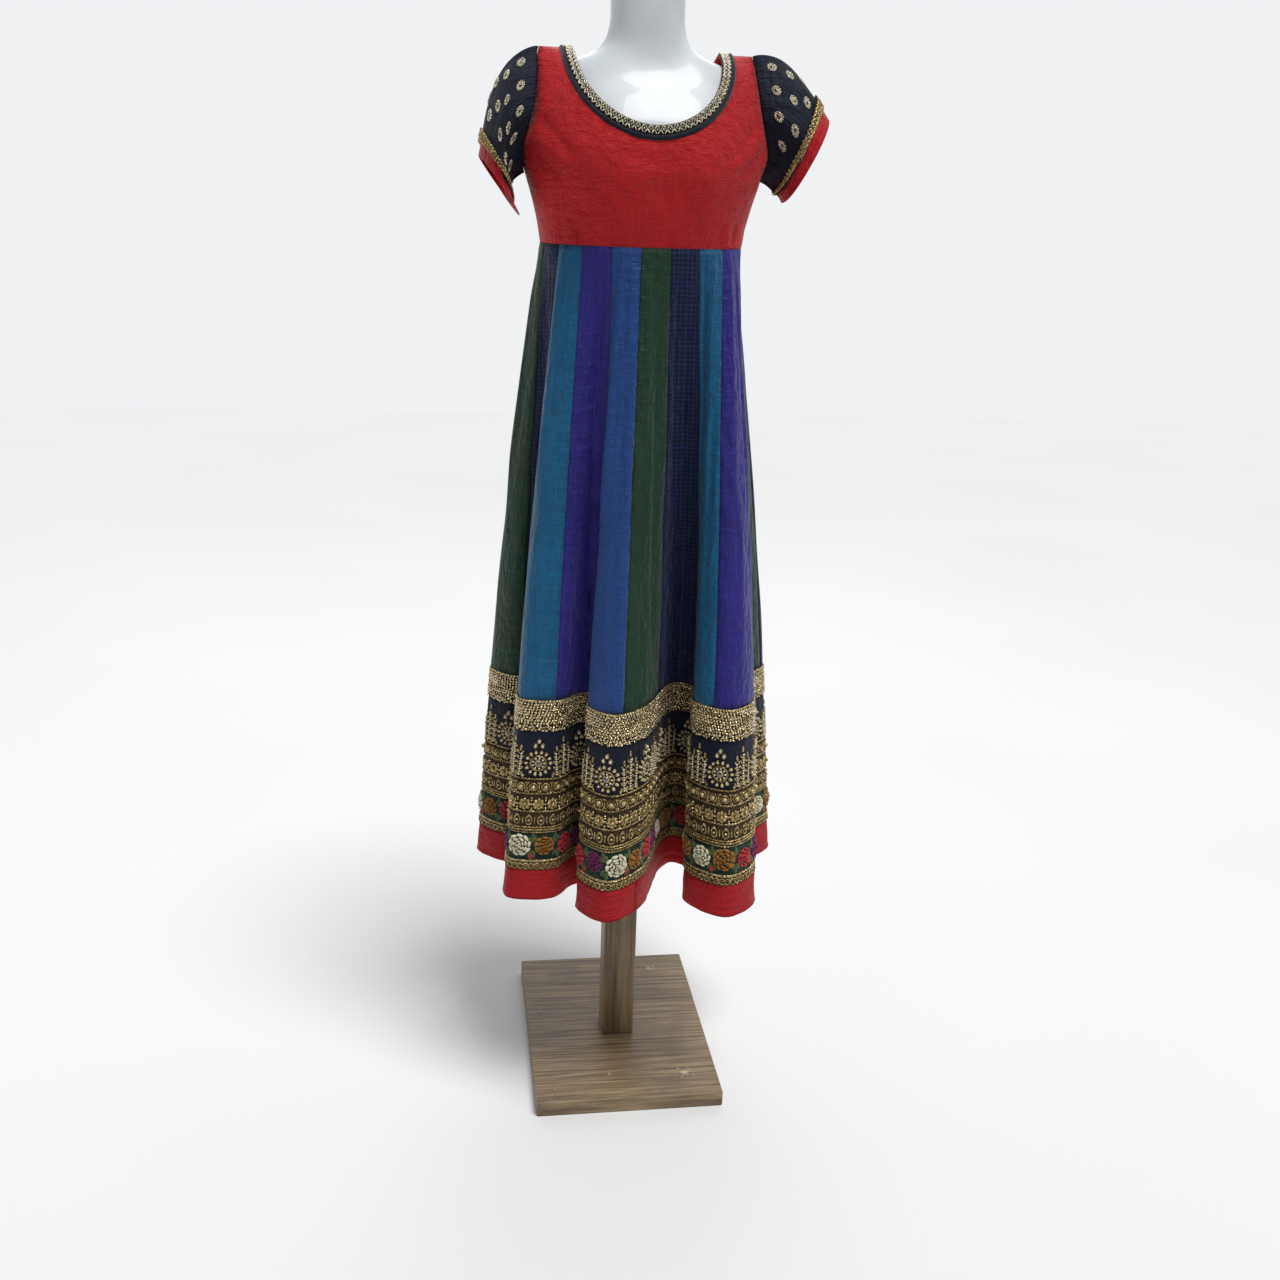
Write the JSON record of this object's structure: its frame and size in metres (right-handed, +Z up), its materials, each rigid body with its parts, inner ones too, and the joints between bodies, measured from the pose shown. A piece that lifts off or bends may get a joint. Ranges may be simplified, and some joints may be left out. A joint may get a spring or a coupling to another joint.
{
  "type": "anarkali gown on dress form",
  "caption": "Long flared panelled gown with short sleeves and a broad ornamented border, on a limbless dress form with a wooden post and board.",
  "frame": {"origin": "underside of the board, below the post's axis", "axes": "+Z up, the front of the gown faces -Y"},
  "size_m": [0.482, 0.4569, 1.664],
  "materials": {
    "embroidered_navy": "embroidered silk",
    "form_white": "satin white",
    "gold_beads": "beaded trim",
    "gold_braid": "metallic braid",
    "gold_edging": "metallic edging",
    "gold_sequins": "sequinned band",
    "gold_stones": "dense metallic embroidery",
    "raw_silk_red": "slubby raw silk",
    "rose_ribbon": "wool-thread roses on green",
    "silk_blue": "silk",
    "silk_check": "windowpane check silk",
    "silk_green": "silk",
    "silk_navy": "matt silk",
    "silk_red": "plain silk",
    "silk_teal": "silk",
    "silk_violet": "silk",
    "wood": "grey-brown laminate"
  },
  "bodies": {
    "root": {"base_board": "wood", "bodice_back": "raw_silk_red", "bodice_front": "raw_silk_red", "border_dense_gold": "gold_stones", "border_edging": "gold_edging", "border_gold": "gold_sequins", "border_navy": "embroidered_navy", "border_roses": "rose_ribbon", "dress_form": "form_white", "hem_band": "silk_red", "kali_01_green": "silk_green", "kali_02_check": "silk_check", "kali_03_teal": "silk_teal", "kali_04_violet": "silk_violet", "kali_05_blue": "silk_blue", "kali_06_green": "silk_green", "kali_07_check": "silk_check", "kali_08_teal": "silk_teal", "kali_09_violet": "silk_violet", "kali_10_blue": "silk_blue", "kali_11_green": "silk_green", "kali_12_check": "silk_check", "kali_13_teal": "silk_teal", "kali_14_violet": "silk_violet", "kali_15_blue": "silk_blue", "kali_16_green": "silk_green", "kali_17_check": "silk_check", "kali_18_teal": "silk_teal", "kali_19_violet": "silk_violet", "kali_20_blue": "silk_blue", "neck_band": "silk_navy", "neck_trim": "gold_beads", "post": "wood", "sleeve_braid_left": "gold_braid", "sleeve_braid_right": "gold_braid", "sleeve_cuff_left": "silk_red", "sleeve_cuff_right": "silk_red", "sleeve_left": "silk_navy", "sleeve_right": "silk_navy"}
  },
  "joints": []
}
